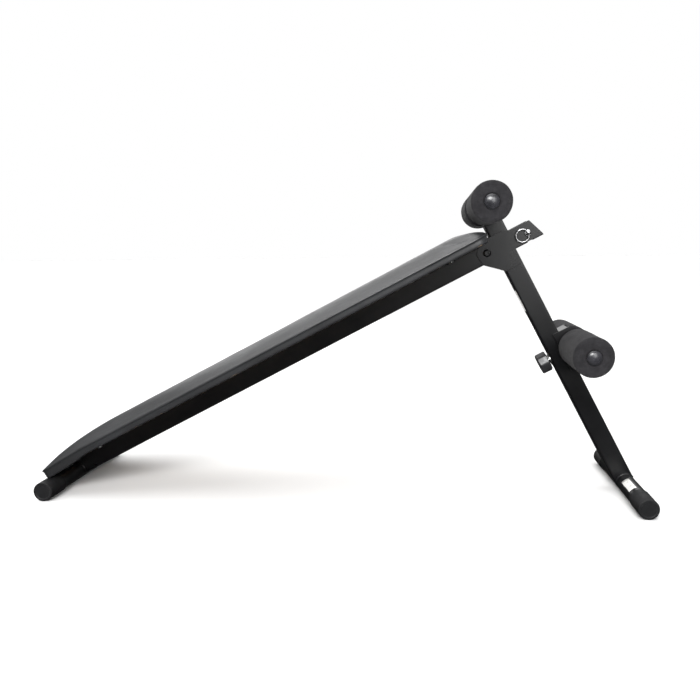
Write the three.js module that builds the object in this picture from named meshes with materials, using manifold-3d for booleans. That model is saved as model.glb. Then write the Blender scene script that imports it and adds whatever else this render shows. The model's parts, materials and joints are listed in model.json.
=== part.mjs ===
// Folding decline sit-up bench.
//
// Millimetres, +Z up, +X along the bench from the low nose of the pad to the leg, +Y across it.
// The frame tube slopes up from the front stabiliser to the hinge. Its parts are placed in a sloping
// "bench" frame: u runs up the tube's centre line, w is square to it, and u = w = 0 is the point
// where the tube's centre line crosses the leg's. The leg and its parts share that point.
import * as THREE from "three";
import { mergeVertices } from "three/addons/utils/BufferGeometryUtils.js";
import Module from "manifold-3d";

// ---- Stance ----
const FRAME_TILT = THREE.MathUtils.degToRad(27.5);
const LEG_SPLAY = THREE.MathUtils.degToRad(0.5);
const FRONT_REACH = 1101;
const FRONT_DROP = 5.8;
const LEG_TOP_GAP = 0.8;
const LEG_FOOT_LAP = 8;

// ---- Square tube ----
const TUBE = 40;
const HALF = TUBE / 2;
const WALL = 2;
const TUBE_CORNER = 4;

// ---- Fits ----
const GAP = 0.3;
const SLIDE_GAP = 0.5;
const BORE_GAP = 0.5;

// ---- Stabilisers and their rubber caps ----
const FOOT_TUBE_R = 19;
const CAP_R = 20.7;
const CAP_SLEEVE = 60;
const CAP_END = 4.5;
const CAP_DISH = 1.4;
const CAP_FLAT = 0.5;
const FRONT_WIDTH = 332;
const REAR_WIDTH = 356;
const AXIS_HEIGHT = CAP_R - CAP_FLAT;

// ---- Pad ----
const PAD_WIDTH = 290;
const PAD_NOSE_U = -1105;
const PAD_END_U = -28;
const PAD_TOP_W = 60;
const PAD_SHOULDER_W = 44;
const PAD_CORNER = 30;
const NOSE_LENGTH = 122;
const END_ROUND = 42;
const STRAP_THICK = 3;
const STRAP_W = HALF + GAP;
const BOARD_W = STRAP_W + STRAP_THICK + GAP;
const BOARD_THICK = 12;
const BOARD_INSET = 3.5;
const BOARD_NOSE_INSET = 16;
const NOSE_LIP = 13;
const NOSE_LIP_W = 15.5;
const STRAP_WIDTH = 30;
const STRAP_SPAN = 140;
const STRAP_PLACES = { front: -1000, rear: -113 };
const SCREW_Y = 55;
const SCREW_R = 3;
const SCREW_HEAD_R = 6;
const SCREW_HEAD = 3.4;
const SCREW_LENGTH = 13;
const SCREW_ROOM = 2;

// ---- Foam rollers ----
const AXLE_R = 12.5;
const FOAM_R = 40;
const FOAM_INNER = 25.2;
const FOAM_OUTER = 176;
const FOAM_EDGE = 8;
const FOAM_BORE_R = AXLE_R + 0.6;
const FOAM_MOUTH_R = 16.5;
const FOAM_MOUTH = 5;
const AXLE_HALF = 173.5;
const PLUG_HEAD_R = 14.5;
const PLUG_HEAD = 1.3;
const PLUG_DOME = 5;
const PLUG_SHANK = 18;

// ---- Upper post ----
const POST_U = 2;
const UPPER_AXLE_W = 88.5;
const POST_TOP_W = 106;
const POST_CAP_HEAD = 3;
const POST_CAP_SHANK = 12;
const POST_CAP_BEVEL = 1.5;

// ---- Hinge plates, with the locking arm that follows the tube's tail ----
const PLATE_THICK = 3.5;
const PLATE_INNER_Y = HALF + GAP;
const PLATE_OUTER_Y = PLATE_INNER_Y + PLATE_THICK;
const PIVOT_U = -37.5;
const PIVOT_R = 5;
const BUSHING_R = 8;
const BOLT_HEAD_R = 8.5;
const BOLT_HEAD = 4.5;
const BOLT_SOCKET_R = 3.4;
const BOLT_TIP_Y = PLATE_OUTER_Y + 12;
const NUT_CORNERS = 18.5;
const NUT_THICK = 8;
const PIVOT_WASHER_R = 10;
const PLATE_END_R = 21;
const PLATE_ARM_TOP = 21;
const PLATE_ARM_BOTTOM = -18;
const PLATE_POST_EAR = 27;
const PLATE_LEG_U = 19.5;
const PLATE_LEG_W = -52.5;
const PIN_U = 55.5;
const PIN_W = -1.5;
const PIN_R = 4;
const PIN_SEAT_DRIFT = 3.5;
const PIN_COLLAR_R = 6.5;
const PIN_COLLAR = 2;
const ARM_END_U = 76.5;
const ARM_SLANT = THREE.MathUtils.degToRad(20);
const PLUG_FLANGE = 2.5;
const PLUG_DEPTH = 8;
const PIN_BALL_R = 5.6;
const PIN_BALL_Y = -31.5;
const PIN_EYE_R = 2.7;
const PIN_TIP_Y = 30;
const RING_R = 13.3;
const RING_WIRE_R = 1.05;

// ---- Roller carriage on the leg ----
const LOWER_AXLE_U = 38.5;
const LOWER_AXLE_W = -265;
const KNOB_W = -268;
const CARRIAGE_TRAVEL = 55;
const STUD_R = 5;
const STUD_HEAD_R = 9;
const STUD_HEAD = 1.6;
const KNOB_R = 22.5;
const KNOB_THICK = 22;
const KNOB_STANDOFF = 2.6;
const KNOB_LOBES = 8;
const KNOB_LOBE_DEPTH = 1.6;
const BRACKET_THICK = 3.2;
const BRACKET_TOP_W = -218;
const BRACKET_BOTTOM_W = -306;
const BRACKET_FRONT_U = 6;
const BRACKET_LID_U = 40;
const BRACKET_AXLE_EDGE = 19;
const KNOB_WASHER_R = 13;
const KNOB_BEVEL = 2;
const KNOB_FLOOR = 5;
const WASHER_THICK = 2;
const KNOB_FACE = HALF + GAP + WASHER_THICK + KNOB_STANDOFF;

// ---- Smoothness ----
const ROUND_STEPS = 32;
const SMALL_STEPS = 20;
const CORNER_STEPS = 3;

const COLOURS = {
  frame: 0x0b0b0d,
  foam: 0x2c2b2e,
  leather: 0x1a1b1c,
  rubber: 0x1b1b1d,
  plastic: 0x17171a,
  plywood: 0x6b5337,
  zinc: 0xb9bcc0,
  chrome: 0xd8dade,
};

const wasm = await Module();
wasm.setup();

// ---- Solids ----

function toSolid(geometry) {
  const bare = geometry.index ? geometry.toNonIndexed() : geometry.clone();
  bare.deleteAttribute("normal");
  bare.deleteAttribute("uv");
  const merged = mergeVertices(bare, 1e-3);
  const mesh = new wasm.Mesh({
    numProp: 3,
    vertProperties: new Float32Array(merged.attributes.position.array),
    triVerts: new Uint32Array(merged.index.array),
  });
  return new wasm.Manifold(mesh);
}

function toGeometry(solid) {
  const mesh = solid.getMesh();
  const geometry = new THREE.BufferGeometry();
  geometry.setAttribute("position", new THREE.BufferAttribute(new Float32Array(mesh.vertProperties), 3));
  geometry.setIndex(new THREE.BufferAttribute(new Uint32Array(mesh.triVerts), 1));
  const faceted = geometry.toNonIndexed();
  faceted.computeVertexNormals();
  return faceted;
}

function cut(body, ...tools) {
  return toGeometry(tools.reduce((rest, tool) => rest.subtract(toSolid(tool)), toSolid(body)));
}

function join(...pieces) {
  return toGeometry(pieces.map(toSolid).reduce((sum, piece) => sum.add(piece)));
}

function common(...pieces) {
  return toGeometry(pieces.map(toSolid).reduce((rest, piece) => rest.intersect(piece)));
}

// ---- Outlines and basic bodies ----

function roundedPolygon(corners, radius) {
  const shape = new THREE.Shape();
  corners.forEach((corner, i) => {
    const before = corners[(i + corners.length - 1) % corners.length];
    const after = corners[(i + 1) % corners.length];
    const enter = corner.clone().add(before.clone().sub(corner).setLength(radius));
    const leave = corner.clone().add(after.clone().sub(corner).setLength(radius));
    if (i === 0) shape.moveTo(enter.x, enter.y);
    else shape.lineTo(enter.x, enter.y);
    shape.quadraticCurveTo(corner.x, corner.y, leave.x, leave.y);
  });
  shape.closePath();
  return shape;
}

function roundedBox(left, right, bottom, top, radius) {
  const corners = [
    new THREE.Vector2(left, bottom),
    new THREE.Vector2(right, bottom),
    new THREE.Vector2(right, top),
    new THREE.Vector2(left, top),
  ];
  return roundedPolygon(corners, radius);
}

function circle(x, y, radius) {
  return new THREE.Shape().absarc(x, y, radius, 0, 2 * Math.PI, false);
}

function extrude(shape, depth, steps = CORNER_STEPS) {
  return new THREE.ExtrudeGeometry(shape, { depth, bevelEnabled: false, curveSegments: steps });
}

// A plate whose outline is drawn in u and w, lying between two stations across the bench.
function sidePlate(shape, fromY, toY, steps = CORNER_STEPS) {
  return extrude(shape, toY - fromY, steps).rotateX(Math.PI / 2).translate(0, toY, 0);
}

// A solid of revolution about the Y direction through (x, z), from a profile of [radius, y] pairs.
function turned(profile, x = 0, z = 0, steps = ROUND_STEPS) {
  const points = profile.map(([radius, y]) => new THREE.Vector2(radius, y));
  return new THREE.LatheGeometry(points, steps).translate(x, 0, z);
}

function rodAlongY(radius, fromY, toY, x = 0, z = 0, steps = ROUND_STEPS) {
  return turned([[0, fromY], [radius, fromY], [radius, toY], [0, toY]], x, z, steps);
}

function pipeAlongY(outer, inner, half, x = 0, z = 0, steps = ROUND_STEPS) {
  const profile = [[inner, -half], [outer, -half], [outer, half], [inner, half], [inner, -half]];
  return turned(profile, x, z, steps);
}

function squareTubeSection() {
  const section = roundedBox(-HALF, HALF, -HALF, HALF, TUBE_CORNER);
  const inside = HALF - WALL;
  section.holes.push(roundedBox(-inside, inside, -inside, inside, TUBE_CORNER - WALL));
  return section;
}

function box(fromX, toX, fromY, toY, fromZ, toZ) {
  const geometry = new THREE.BoxGeometry(toX - fromX, toY - fromY, toZ - fromZ);
  return geometry.translate((fromX + toX) / 2, (fromY + toY) / 2, (fromZ + toZ) / 2);
}

function mesh(name, geometry, color, roughness, metalness) {
  const part = new THREE.Mesh(geometry, new THREE.MeshStandardMaterial({ color, roughness, metalness }));
  part.name = name;
  return part;
}

const painted = (name, geometry) => mesh(name, geometry, COLOURS.frame, 0.28, 0.4);
const plastic = (name, geometry) => mesh(name, geometry, COLOURS.plastic, 0.35, 0);
const rubber = (name, geometry) => mesh(name, geometry, COLOURS.rubber, 0.8, 0);
const foam = (name, geometry) => mesh(name, geometry, COLOURS.foam, 0.95, 0);
const plated = (name, geometry) => mesh(name, geometry, COLOURS.zinc, 0.3, 1);
const chromed = (name, geometry) => mesh(name, geometry, COLOURS.chrome, 0.12, 1);

const SIDES = [
  { side: "near", sign: -1 },
  { side: "far", sign: 1 },
];

// The far-side copy of a piece turned about Y for the near side.
function handed(geometry, sign) {
  return sign < 0 ? geometry : geometry.rotateZ(Math.PI);
}

// ---- Frame tube ----

// Everything beyond the slanted end of the locking arm, set back along the tube.
function beyondArm(setback) {
  const block = box(0, 3 * TUBE, -TUBE, TUBE, -2 * TUBE, 2 * TUBE).rotateY(-ARM_SLANT);
  return block.translate(ARM_END_U - setback, 0, 0);
}

// The pin's seat opens downwards so that the pin can leave with the plates when the leg folds.
function pinSeat() {
  const room = PIN_R + BORE_GAP;
  const seat = rodAlongY(room, -TUBE, TUBE, PIN_U, PIN_W, SMALL_STEPS);
  const way = box(PIN_U - room - PIN_SEAT_DRIFT, PIN_U + room, -TUBE, TUBE, -TUBE, PIN_W);
  return join(seat, way);
}

function frameTube() {
  const length = FRONT_REACH + ARM_END_U + HALF;
  const tube = extrude(squareTubeSection(), length).rotateY(Math.PI / 2).translate(-FRONT_REACH, 0, 0);
  const cope = rodAlongY(FOOT_TUBE_R + GAP, -TUBE, TUBE, -FRONT_REACH, -FRONT_DROP);
  const pivotHole = rodAlongY(PIVOT_R + BORE_GAP, -TUBE, TUBE, PIVOT_U, 0, SMALL_STEPS);
  const solid = cut(tube, cope, pivotHole, pinSeat(), beyondArm(PLUG_FLANGE + GAP));
  return painted("frame_tube", solid);
}

function frameEndPlug() {
  const fit = HALF - WALL - GAP;
  const square = (half, fromU, toU) =>
    extrude(roundedBox(-half, half, -half, half, TUBE_CORNER), toU - fromU)
      .rotateY(Math.PI / 2)
      .translate(fromU, 0, 0);
  const plug = join(square(HALF, 0, PLUG_FLANGE), square(fit, -PLUG_DEPTH, PLUG_FLANGE / 2));
  plug.applyMatrix4(new THREE.Matrix4().makeShear(0, 0, 0, 0, -Math.tan(ARM_SLANT), 0));
  plug.translate(ARM_END_U - PLUG_FLANGE, 0, 0);
  return plastic("frame_end_plug", plug);
}

function pivotBushing() {
  const half = HALF - WALL - GAP;
  return plated("pivot_bushing", pipeAlongY(BUSHING_R, PIVOT_R + BORE_GAP, half, PIVOT_U, 0, SMALL_STEPS));
}

// ---- Upper post and roller ----

function upperPost() {
  const bottom = HALF + GAP;
  const tube = extrude(squareTubeSection(), POST_TOP_W - bottom).translate(POST_U, 0, bottom);
  const axleHole = rodAlongY(AXLE_R + GAP, -TUBE, TUBE, POST_U, UPPER_AXLE_W);
  return painted("upper_post", cut(tube, axleHole));
}

function postCap() {
  const fit = HALF - WALL - GAP;
  const face = HALF - POST_CAP_BEVEL;
  const seat = POST_TOP_W + GAP;
  const options = {
    depth: POST_CAP_HEAD - POST_CAP_BEVEL,
    bevelThickness: POST_CAP_BEVEL,
    bevelSize: POST_CAP_BEVEL,
    bevelSegments: 2,
    curveSegments: CORNER_STEPS,
  };
  const head = new THREE.ExtrudeGeometry(roundedBox(-face, face, -face, face, TUBE_CORNER), options);
  head.translate(0, 0, seat + POST_CAP_BEVEL);
  const shank = extrude(roundedBox(-fit, fit, -fit, fit, TUBE_CORNER), POST_CAP_SHANK + 1);
  shank.translate(0, 0, seat - POST_CAP_SHANK);
  const clearOfAxle = rodAlongY(AXLE_R + 1, -TUBE, TUBE, 0, UPPER_AXLE_W);
  return plastic("post_cap", cut(join(head, shank), clearOfAxle).translate(POST_U, 0, 0));
}

function axle(name, u, w) {
  return painted(name, pipeAlongY(AXLE_R, AXLE_R - WALL, AXLE_HALF, u, w));
}

function foamRoller(name, sign, u, w) {
  const edge = FOAM_EDGE;
  const slope = edge * (1 - Math.SQRT1_2);
  const outerFace = -FOAM_OUTER;
  const innerFace = -FOAM_INNER;
  const profile = [
    [FOAM_BORE_R, outerFace + FOAM_MOUTH],
    [FOAM_MOUTH_R, outerFace],
    [FOAM_R - edge, outerFace],
    [FOAM_R - slope, outerFace + slope],
    [FOAM_R, outerFace + edge],
    [FOAM_R, innerFace - edge],
    [FOAM_R - slope, innerFace - slope],
    [FOAM_R - edge, innerFace],
    [FOAM_BORE_R, innerFace],
    [FOAM_BORE_R, outerFace + FOAM_MOUTH],
  ];
  return foam(name, handed(turned(profile), sign).translate(u, 0, w));
}

function endPlug(name, sign, u, w) {
  const seat = -(AXLE_HALF + GAP);
  const shankR = AXLE_R - WALL - GAP;
  const face = seat - PLUG_HEAD;
  const profile = [
    [0, face - PLUG_DOME],
    [PLUG_HEAD_R * 0.38, face - PLUG_DOME * 0.92],
    [PLUG_HEAD_R * 0.71, face - PLUG_DOME * 0.68],
    [PLUG_HEAD_R * 0.92, face - PLUG_DOME * 0.32],
    [PLUG_HEAD_R, face],
    [PLUG_HEAD_R, seat],
    [shankR, seat],
    [shankR - 0.6, seat + PLUG_SHANK],
    [0, seat + PLUG_SHANK],
  ];
  return plastic(name, handed(turned(profile, 0, 0, SMALL_STEPS), sign).translate(u, 0, w));
}

// ---- Pad ----

function padPlan(inset, noseInset) {
  const half = PAD_WIDTH / 2 - inset;
  const corner = PAD_CORNER - inset;
  return roundedBox(PAD_NOSE_U + noseInset, PAD_END_U - inset, -half, half, corner);
}

function padBoard() {
  let board = extrude(padPlan(BOARD_INSET, BOARD_NOSE_INSET), BOARD_THICK, 6).translate(0, 0, BOARD_W);
  for (const u of Object.values(STRAP_PLACES)) {
    for (const y of [-SCREW_Y, SCREW_Y]) {
      board = cut(board, screwHole(u, y));
    }
  }
  return mesh("pad_board", board, COLOURS.plywood, 0.8, 0);
}

// Side view: flat underneath with a lip over the board's nose, a long quarter-round nose and a
// short quarter-round top end.
function cushionSideView(bottom) {
  const rise = PAD_TOP_W - bottom;
  const noseCentre = PAD_NOSE_U + NOSE_LENGTH;
  const endCentre = PAD_END_U - END_ROUND;
  const shape = new THREE.Shape();
  shape.moveTo(PAD_NOSE_U, NOSE_LIP_W);
  shape.lineTo(PAD_NOSE_U + NOSE_LIP, NOSE_LIP_W);
  shape.lineTo(PAD_NOSE_U + NOSE_LIP, bottom);
  shape.lineTo(PAD_END_U, bottom);
  shape.absellipse(endCentre, bottom, END_ROUND, rise, 0, Math.PI / 2, false, 0);
  shape.lineTo(noseCentre, PAD_TOP_W);
  shape.absellipse(noseCentre, bottom, NOSE_LENGTH, rise, Math.PI / 2, Math.PI, false, 0);
  shape.closePath();
  return shape;
}

// End view: upright sides that round over into a crowned top.
function cushionEndView(bottom) {
  const half = PAD_WIDTH / 2;
  const shape = new THREE.Shape();
  shape.moveTo(-half, bottom);
  shape.lineTo(half, bottom);
  shape.lineTo(half, PAD_SHOULDER_W);
  shape.bezierCurveTo(half, PAD_TOP_W - 4, half - 20, PAD_TOP_W - 2, half - 55, PAD_TOP_W - 1);
  shape.quadraticCurveTo(half - 90, PAD_TOP_W, 0, PAD_TOP_W);
  shape.quadraticCurveTo(90 - half, PAD_TOP_W, 55 - half, PAD_TOP_W - 1);
  shape.bezierCurveTo(20 - half, PAD_TOP_W - 2, -half, PAD_TOP_W - 4, -half, PAD_SHOULDER_W);
  return shape;
}

function padCushion() {
  const bottom = BOARD_W + BOARD_THICK + GAP;
  const half = PAD_WIDTH / 2;
  const long = PAD_END_U - PAD_NOSE_U;
  const side = sidePlate(cushionSideView(bottom), -half, half, 8);
  const plan = extrude(padPlan(0, 0), PAD_TOP_W, 6);
  const end = extrude(cushionEndView(NOSE_LIP_W), long, 5)
    .rotateX(Math.PI / 2)
    .rotateZ(Math.PI / 2)
    .translate(PAD_NOSE_U, 0, 0);
  const overTube = box(PAD_NOSE_U - 1, PAD_NOSE_U + NOSE_LIP + 1, -HALF - 1, HALF + 1, 0, HALF + 2 * GAP);
  return mesh("pad_cushion", cut(common(side, plan, end), overTube), COLOURS.leather, 0.45, 0);
}

function screwHole(u, y) {
  const length = SCREW_LENGTH + 2 * SCREW_ROOM;
  const hole = new THREE.CylinderGeometry(SCREW_R + GAP, SCREW_R + GAP, length, SMALL_STEPS);
  return hole.rotateX(Math.PI / 2).translate(u, y, STRAP_W + SCREW_LENGTH / 2);
}

function padStrap(place) {
  const u = STRAP_PLACES[place];
  const half = STRAP_SPAN / 2;
  const plate = extrude(roundedBox(-STRAP_WIDTH / 2, STRAP_WIDTH / 2, -half, half, 6), STRAP_THICK);
  const strap = plate.translate(u, 0, STRAP_W);
  return painted(`pad_strap_${place}`, cut(strap, screwHole(u, -SCREW_Y), screwHole(u, SCREW_Y)));
}

function padScrew(place, side, sign) {
  const top = STRAP_W - GAP;
  const profile = [
    [0, top - SCREW_HEAD],
    [SCREW_HEAD_R * 0.6, top - SCREW_HEAD * 0.9],
    [SCREW_HEAD_R, top - SCREW_HEAD * 0.45],
    [SCREW_HEAD_R, top],
    [SCREW_R, top],
    [SCREW_R, top + SCREW_LENGTH],
    [0, top + SCREW_LENGTH],
  ];
  const screw = turned(profile, 0, 0, SMALL_STEPS).rotateX(Math.PI / 2);
  return plated(`pad_screw_${place}_${side}`, screw.translate(STRAP_PLACES[place], sign * SCREW_Y, 0));
}

// ---- Stabilisers ----

function stabiliser(name, width) {
  const half = width / 2 - CAP_END - GAP;
  return painted(name, pipeAlongY(FOOT_TUBE_R, FOOT_TUBE_R - WALL, half));
}

function footCap(name, width, sign) {
  const face = -width / 2;
  const sleeveEnd = face + CAP_SLEEVE;
  const sleeveR = FOOT_TUBE_R + GAP;
  const profile = [
    [0, face + CAP_DISH],
    [15, face + CAP_DISH],
    [16.2, face],
    [18.8, face],
    [CAP_R - 0.5, face + 0.6],
    [CAP_R, face + 2],
    [CAP_R, sleeveEnd - 0.6],
    [CAP_R - 0.5, sleeveEnd],
    [sleeveR, sleeveEnd],
    [sleeveR, face + CAP_END],
    [0, face + CAP_END],
  ];
  const round = handed(turned(profile), sign);
  const floor = box(-CAP_R, CAP_R, -width, width, -2 * CAP_R, -AXIS_HEIGHT);
  return rubber(name, cut(round, floor));
}

function stabiliserSet(place, width, x) {
  const set = new THREE.Group();
  set.add(stabiliser(`${place}_stabilizer`, width));
  for (const { side, sign } of SIDES) {
    set.add(footCap(`${place}_cap_${side}`, width, sign));
  }
  set.position.set(x, 0, AXIS_HEIGHT);
  return set;
}

// ---- Hinge plates and locking pin ----

function hingePlateOutline() {
  const top = PLATE_ARM_TOP;
  const bottom = PLATE_ARM_BOTTOM;
  const nick = 1.5;
  const slantAt = (w) => ARM_END_U - w * Math.tan(ARM_SLANT);
  const shape = new THREE.Shape();
  shape.moveTo(-56, -19);
  shape.lineTo(-25, -47);
  shape.quadraticCurveTo(-22, -51, -18, PLATE_LEG_W);
  shape.lineTo(PLATE_LEG_U, PLATE_LEG_W + 2);
  shape.lineTo(PLATE_LEG_U, bottom - 2);
  shape.quadraticCurveTo(PLATE_LEG_U, bottom, PLATE_LEG_U + 2, bottom);
  shape.lineTo(slantAt(bottom) - nick, bottom);
  shape.quadraticCurveTo(slantAt(bottom), bottom, slantAt(bottom + nick), bottom + nick);
  shape.lineTo(slantAt(top - nick), top - nick);
  shape.quadraticCurveTo(slantAt(top), top, slantAt(top) - nick, top);
  shape.lineTo(POST_U + HALF + 1, top);
  shape.lineTo(11, PLATE_POST_EAR);
  shape.lineTo(-21, PLATE_POST_EAR);
  shape.quadraticCurveTo(-23, PLATE_POST_EAR, -24, PLATE_POST_EAR - 2);
  shape.lineTo(-26, PLATE_END_R);
  shape.lineTo(PIVOT_U, PLATE_END_R);
  shape.absarc(PIVOT_U, 0, PLATE_END_R, Math.PI / 2, Math.PI * 1.1, false);
  shape.holes.push(circle(PIVOT_U, 0, PIVOT_R + BORE_GAP));
  shape.holes.push(circle(PIN_U, PIN_W, PIN_R + BORE_GAP));
  return shape;
}

function hingePlate(side, sign) {
  const innerY = sign > 0 ? PLATE_INNER_Y : -PLATE_OUTER_Y;
  return painted(`hinge_plate_${side}`, sidePlate(hingePlateOutline(), innerY, innerY + PLATE_THICK, 8));
}

function pivotBolt() {
  const seat = -(PLATE_OUTER_Y + GAP);
  const face = seat - BOLT_HEAD;
  const profile = [
    [0, face],
    [BOLT_HEAD_R * 0.6, face],
    [BOLT_HEAD_R * 0.9, seat - BOLT_HEAD * 0.6],
    [BOLT_HEAD_R, seat],
    [PIVOT_R, seat],
    [PIVOT_R, BOLT_TIP_Y],
    [0, BOLT_TIP_Y],
  ];
  const socket = new THREE.CylinderGeometry(BOLT_SOCKET_R, BOLT_SOCKET_R, BOLT_HEAD, 6).translate(0, face, 0);
  return plated("pivot_bolt", cut(turned(profile, 0, 0, SMALL_STEPS), socket).translate(PIVOT_U, 0, 0));
}

function pivotNut() {
  const y = PLATE_OUTER_Y + WASHER_THICK + 2 * GAP;
  const outline = new THREE.Shape();
  for (let i = 0; i < 6; i += 1) {
    const corner = new THREE.Vector2(NUT_CORNERS / 2, 0).rotateAround(new THREE.Vector2(), (i * Math.PI) / 3);
    if (i === 0) outline.moveTo(corner.x, corner.y);
    else outline.lineTo(corner.x, corner.y);
  }
  outline.closePath();
  outline.holes.push(circle(0, 0, PIVOT_R + GAP));
  return plated("pivot_nut", sidePlate(outline, y, y + NUT_THICK, SMALL_STEPS / 2).translate(PIVOT_U, 0, 0));
}

function pivotWasher() {
  const half = WASHER_THICK / 2;
  const y = PLATE_OUTER_Y + GAP + half;
  const washer = pipeAlongY(PIVOT_WASHER_R, PIVOT_R + GAP, half, PIVOT_U, 0, SMALL_STEPS).translate(0, y, 0);
  return plated("pivot_washer", washer);
}

function lockingPin() {
  const seat = -(PLATE_OUTER_Y + GAP);
  const r = PIN_BALL_R;
  const ballPoint = (degrees) => {
    const angle = THREE.MathUtils.degToRad(degrees);
    return [r * Math.sin(angle), PIN_BALL_Y - r * Math.cos(angle)];
  };
  const profile = [
    [0, PIN_BALL_Y - r],
    ...[25, 50, 75, 100, 125, 145].map(ballPoint),
    [PIN_BALL_R / 2, seat - PIN_COLLAR],
    [PIN_COLLAR_R, seat - PIN_COLLAR],
    [PIN_COLLAR_R, seat],
    [PIN_R, seat],
    [PIN_R, PIN_TIP_Y - 3],
    [PIN_R - 1.8, PIN_TIP_Y],
    [0, PIN_TIP_Y],
  ];
  const eye = new THREE.CylinderGeometry(PIN_EYE_R, PIN_EYE_R, 4 * r, SMALL_STEPS);
  eye.rotateX(Math.PI / 2).translate(0, PIN_BALL_Y, 0);
  const pin = cut(turned(profile, 0, 0, SMALL_STEPS), eye);
  return chromed("locking_pin", pin.translate(PIN_U, 0, PIN_W));
}

function pinRing() {
  const ring = new THREE.TorusGeometry(RING_R, RING_WIRE_R, 8, 32).rotateX(Math.PI / 2);
  return chromed("pin_ring", ring.translate(PIN_U - RING_R, PIN_BALL_Y, PIN_W));
}

// ---- Leg ----

function legTube(reach) {
  const top = -(HALF + LEG_TOP_GAP);
  const bottom = -reach + LEG_FOOT_LAP;
  const tube = extrude(squareTubeSection(), top - bottom).translate(0, 0, bottom);
  const cope = rodAlongY(FOOT_TUBE_R + GAP, -TUBE, TUBE, 0, -reach);
  const room = STUD_R + BORE_GAP;
  const slot = new THREE.Shape();
  slot.absarc(0, CARRIAGE_TRAVEL, room, 0, Math.PI, false);
  slot.absarc(0, -CARRIAGE_TRAVEL, room, Math.PI, 2 * Math.PI, false);
  const slotCutter = extrude(slot, 2 * TUBE, 6).rotateX(Math.PI / 2).rotateZ(Math.PI / 2);
  return painted("leg_tube", cut(tube, cope, slotCutter.translate(-TUBE, 0, KNOB_W)));
}

// ---- Roller carriage ----

// Two cheeks that hug the leg and carry the axle, a web behind the leg and a lid over the web.
function carriageBracket() {
  const inner = HALF + SLIDE_GAP;
  const outer = inner + BRACKET_THICK;
  const edge = BRACKET_AXLE_EDGE;
  const cheek = new THREE.Shape();
  cheek.moveTo(BRACKET_FRONT_U, BRACKET_BOTTOM_W);
  cheek.lineTo(30, BRACKET_BOTTOM_W);
  cheek.lineTo(LOWER_AXLE_U + edge * 0.8, LOWER_AXLE_W - edge * 0.6);
  cheek.absarc(LOWER_AXLE_U, LOWER_AXLE_W, edge, -0.64, 0.64, false);
  cheek.lineTo(44, BRACKET_TOP_W);
  cheek.lineTo(BRACKET_FRONT_U, BRACKET_TOP_W);
  cheek.closePath();
  const halfWeb = outer - 1;
  const lidBottom = BRACKET_TOP_W - BRACKET_THICK;
  const pieces = [
    sidePlate(cheek, -outer, -inner, 6),
    sidePlate(cheek, inner, outer, 6),
    box(inner, outer, -halfWeb, halfWeb, BRACKET_BOTTOM_W, BRACKET_TOP_W),
    box(inner, BRACKET_LID_U, -halfWeb, halfWeb, lidBottom, BRACKET_TOP_W),
  ];
  const axleHole = rodAlongY(AXLE_R + GAP, -TUBE, TUBE, LOWER_AXLE_U, LOWER_AXLE_W);
  const studHole = alongU(STUD_R + GAP, 0, TUBE);
  return painted("carriage_bracket", cut(join(...pieces), axleHole, studHole));
}

// A round rod square to the leg, at the height of the knob.
function alongU(radius, fromU, toU) {
  return rodAlongY(radius, fromU, toU, 0, 0, SMALL_STEPS).rotateZ(-Math.PI / 2).translate(0, 0, KNOB_W);
}

function knobStud() {
  const seat = HALF + SLIDE_GAP + BRACKET_THICK + GAP;
  const tip = -(KNOB_FACE + KNOB_THICK - KNOB_FLOOR - 1);
  const shank = alongU(STUD_R, tip, seat + STUD_HEAD / 2);
  const head = alongU(STUD_HEAD_R, seat, seat + STUD_HEAD);
  return plated("knob_stud", join(shank, head));
}

function knobWasher() {
  const inner = HALF + GAP;
  const washer = pipeAlongY(KNOB_WASHER_R, STUD_R + GAP, WASHER_THICK / 2, 0, 0, SMALL_STEPS);
  washer.rotateZ(Math.PI / 2);
  return plated("knob_washer", washer.translate(-inner - WASHER_THICK / 2, 0, KNOB_W));
}

// A knob with a wavy rim, bevelled on both faces and bored from the leg's side.
function clampKnob() {
  const rim = KNOB_R - KNOB_BEVEL;
  const outline = new THREE.Shape();
  const steps = KNOB_LOBES * 6;
  for (let i = 0; i < steps; i += 1) {
    const angle = (i / steps) * 2 * Math.PI;
    const radius = rim - KNOB_LOBE_DEPTH * (0.5 - 0.5 * Math.cos(KNOB_LOBES * angle));
    const x = radius * Math.cos(angle);
    const y = radius * Math.sin(angle);
    if (i === 0) outline.moveTo(x, y);
    else outline.lineTo(x, y);
  }
  outline.closePath();
  const options = {
    depth: KNOB_THICK - 2 * KNOB_BEVEL,
    bevelThickness: KNOB_BEVEL,
    bevelSize: KNOB_BEVEL,
    bevelSegments: 2,
    curveSegments: 1,
  };
  const body = new THREE.ExtrudeGeometry(outline, options).translate(0, 0, KNOB_BEVEL);
  const knob = body.rotateY(-Math.PI / 2).translate(-KNOB_FACE, 0, KNOB_W);
  const bore = alongU(STUD_R + GAP, -(KNOB_FACE + KNOB_THICK - KNOB_FLOOR), 0);
  return plastic("clamp_knob", cut(knob, bore));
}

// ---- Assembly ----

function rollerPair(level, u, w) {
  const pieces = [];
  for (const { side, sign } of SIDES) {
    pieces.push(foamRoller(`${level}_foam_${side}`, sign, u, w));
    pieces.push(endPlug(`${level}_plug_${side}`, sign, u, w));
  }
  return pieces;
}

function frameParts() {
  const group = new THREE.Group();
  group.add(frameTube(), frameEndPlug(), pivotBushing());
  group.add(upperPost(), postCap(), axle("upper_axle", POST_U, UPPER_AXLE_W));
  group.add(...rollerPair("upper", POST_U, UPPER_AXLE_W));
  group.add(padBoard(), padCushion());
  for (const place of Object.keys(STRAP_PLACES)) {
    group.add(padStrap(place));
    for (const { side, sign } of SIDES) {
      group.add(padScrew(place, side, sign));
    }
  }
  return group;
}

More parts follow.
